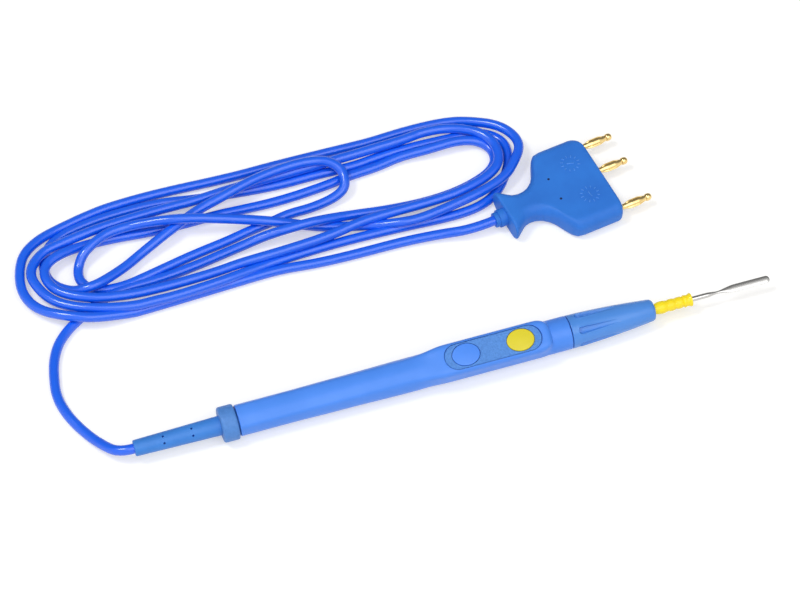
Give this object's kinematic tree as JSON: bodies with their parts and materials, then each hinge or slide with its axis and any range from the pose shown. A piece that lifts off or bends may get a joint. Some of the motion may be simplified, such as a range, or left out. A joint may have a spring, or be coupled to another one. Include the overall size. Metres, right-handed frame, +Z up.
{
  "type": "electrosurgical pencil",
  "caption": "Hand-switched electrosurgical pencil with two buttons, a blade electrode, a hanked blue cord and a plug with three gold pins, lying flat.",
  "frame": {"origin": "on the table, under the middle of the pencil's length", "axes": "+X along the pencil towards the blade, +Z up from the table, +Y towards the hank of cord"},
  "size_m": [0.269, 0.12, 0.0152],
  "materials": {
    "handle_plastic": "moulded, fine satin",
    "nose_plastic": "moulded, fine satin",
    "collar_plastic": "moulded, fine satin",
    "relief_elastomer": "moulded, soft",
    "panel_plastic": "spark-eroded texture",
    "button_blue": "moulded, smooth",
    "button_yellow": "moulded, smooth",
    "sleeve_plastic": "moulded, glossy",
    "blade_steel": "drawn and coined stainless steel",
    "socket_brass": "turned brass",
    "spring_steel": "stamped spring strip",
    "board_laminate": "glass laminate",
    "crimp_metal": "drawn tube",
    "cord_jacket": "extruded, glossy",
    "wire_insulation": "extruded",
    "plug_moulding": "overmoulded, satin",
    "grommet_moulding": "moulded, soft",
    "carrier_plastic": "moulded",
    "pin_gold": "gold plated"
  },
  "bodies": {
    "handle_body": {"handle_shell": "handle_plastic", "nose_cone": "nose_plastic", "tail_collar": "collar_plastic", "strain_relief": "relief_elastomer", "switch_panel": "panel_plastic", "electrode_socket": "socket_brass", "coag_dome": "spring_steel", "cut_dome": "spring_steel", "contact_clip": "spring_steel", "circuit_board": "board_laminate", "crimp_sleeve": "crimp_metal", "cord_end_pencil": "cord_jacket", "cord_lead": "cord_jacket", "cord_hank": "cord_jacket", "cord_tail": "cord_jacket", "cord_end_plug": "cord_jacket", "pencil_wire_1": "wire_insulation", "pencil_wire_2": "wire_insulation", "pencil_wire_3": "wire_insulation", "plug_wire_1": "wire_insulation", "plug_wire_2": "wire_insulation", "plug_wire_3": "wire_insulation", "plug_body": "plug_moulding", "cord_grommet": "grommet_moulding", "pin_carrier": "carrier_plastic", "pin_1": "pin_gold", "pin_2": "pin_gold", "pin_3": "pin_gold", "pin_spring_1": "pin_gold", "pin_spring_2": "pin_gold", "pin_spring_3": "pin_gold"},
    "coag_button_body": {"coag_button": "button_blue"},
    "cut_button_body": {"cut_button": "button_yellow"},
    "electrode_body": {"electrode_blade": "blade_steel", "electrode_sleeve": "sleeve_plastic"}
  },
  "joints": [
    {"name": "coag_button_press", "type": "slide", "parent": "handle_body", "child": "coag_button_body", "axis": [0, 0.284, -0.9588], "range_m": [0, 0.0005], "stiffness_N_per_m": 4000, "deforming": ["coag_dome"]},
    {"name": "cut_button_press", "type": "slide", "parent": "handle_body", "child": "cut_button_body", "axis": [0, 0.284, -0.9588], "range_m": [0, 0.0005], "stiffness_N_per_m": 4000, "deforming": ["cut_dome"]},
    {"name": "electrode_pull", "type": "slide", "parent": "handle_body", "child": "electrode_body", "axis": [1, 0, 0], "range_m": [0, 0.026]}
  ]
}
